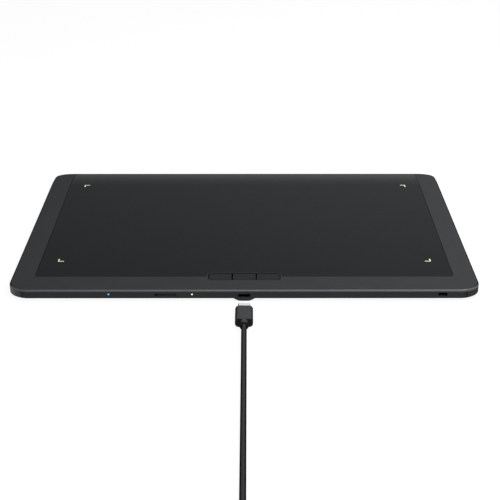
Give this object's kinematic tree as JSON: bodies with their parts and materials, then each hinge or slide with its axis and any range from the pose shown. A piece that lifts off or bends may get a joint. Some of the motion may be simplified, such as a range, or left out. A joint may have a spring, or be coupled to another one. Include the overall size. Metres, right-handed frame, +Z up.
{
  "type": "pen tablet",
  "caption": "Slim rectangular drawing tablet with a matte drawing film, flush keys, lit corner marks, a ribbed power slider and an unplugged data cable.",
  "frame": {"origin": "on the table, under the middle of the tablet", "axes": "+Z up; the edge with the port faces -Y and the curved palm edge +Y; +X is to the right when looking at the port edge's far side along +Y"},
  "size_m": [0.32, 0.6099, 0.0171],
  "materials": {
    "case_plastic": "fine matte texture",
    "film": "finely grained drawing film",
    "key_plastic": "satin",
    "knob_plastic": "satin, ribbed",
    "light_guide": "clear, lit pale yellow-green",
    "blue_guide": "clear, lit blue",
    "green_guide": "clear, lit green",
    "rubber": "matte",
    "board": "solder-resist green",
    "chip": "moulded",
    "connector": "moulded",
    "shield": "foil",
    "steel": "stamped",
    "plated_steel": "plated, satin",
    "dark_steel": "stamped, blackened",
    "screw_steel": "blackened",
    "insulator": "moulded",
    "white_insulator": "moulded",
    "contact": "plated",
    "flex": "thin polyimide film",
    "led": "moulded",
    "cell": "laminated pouch",
    "wire": "insulated",
    "cable_jacket": "satin jacket",
    "mould": "matte moulded",
    "strap": "woven"
  },
  "bodies": {
    "tablet": {"top_housing": "case_plastic", "active_surface": "film", "bottom_cover": "case_plastic", "rubber_feet": "rubber", "corner_light_guides": "light_guide", "corner_leds": "led", "digitizer_board": "board", "shield_sheet": "shield", "support_plate": "steel", "main_board": "board", "board_chips": "chip", "radio_shield_can": "plated_steel", "key_switches": "chip", "status_leds": "led", "link_light_guide": "blue_guide", "power_light_guide": "green_guide", "flex_connectors": "connector", "sensor_flex": "flex", "usb_port_shell": "dark_steel", "usb_port_tongue": "insulator", "slide_switch": "plated_steel", "lock_slot_bracket": "dark_steel", "housing_screws": "screw_steel", "board_screws": "screw_steel", "battery_cell": "cell", "battery_connector": "connector", "battery_wires": "wire"},
    "left_key": {"key_left": "key_plastic", "key_left_plunger": "connector"},
    "middle_key": {"key_middle": "key_plastic", "key_middle_plunger": "connector"},
    "right_key": {"key_right": "key_plastic", "key_right_plunger": "connector"},
    "power_knob": {"power_slider": "knob_plastic", "power_switch_lever": "connector"},
    "usb_cable": {"usb_c_overmould": "mould", "usb_c_plug_shell": "plated_steel", "usb_c_plug_insert": "insulator", "cable_cord": "cable_jacket", "cable_coil": "cable_jacket", "cable_tail": "cable_jacket", "cable_tie": "strap", "usb_a_overmould": "mould", "usb_a_plug_shell": "plated_steel", "usb_a_plug_insert": "white_insulator", "usb_a_contacts": "contact"}
  },
  "joints": [
    {"name": "left_key_press", "type": "slide", "parent": "tablet", "child": "left_key", "axis": [0, 0, -1], "range_m": [0, 0.0004], "stiffness_N_per_m": 1500, "springref_m": -0.0003},
    {"name": "middle_key_press", "type": "slide", "parent": "tablet", "child": "middle_key", "axis": [0, 0, -1], "range_m": [0, 0.0004], "stiffness_N_per_m": 1500, "springref_m": -0.0003},
    {"name": "right_key_press", "type": "slide", "parent": "tablet", "child": "right_key", "axis": [0, 0, -1], "range_m": [0, 0.0004], "stiffness_N_per_m": 1500, "springref_m": -0.0003},
    {"name": "power_slide", "type": "slide", "parent": "tablet", "child": "power_knob", "axis": [-1, 0, 0], "range_m": [0, 0.0018]},
    {"name": "plug_in", "type": "slide", "parent": "tablet", "child": "usb_cable", "axis": [0, 1, 0], "range_m": [0, 0.0197]}
  ]
}
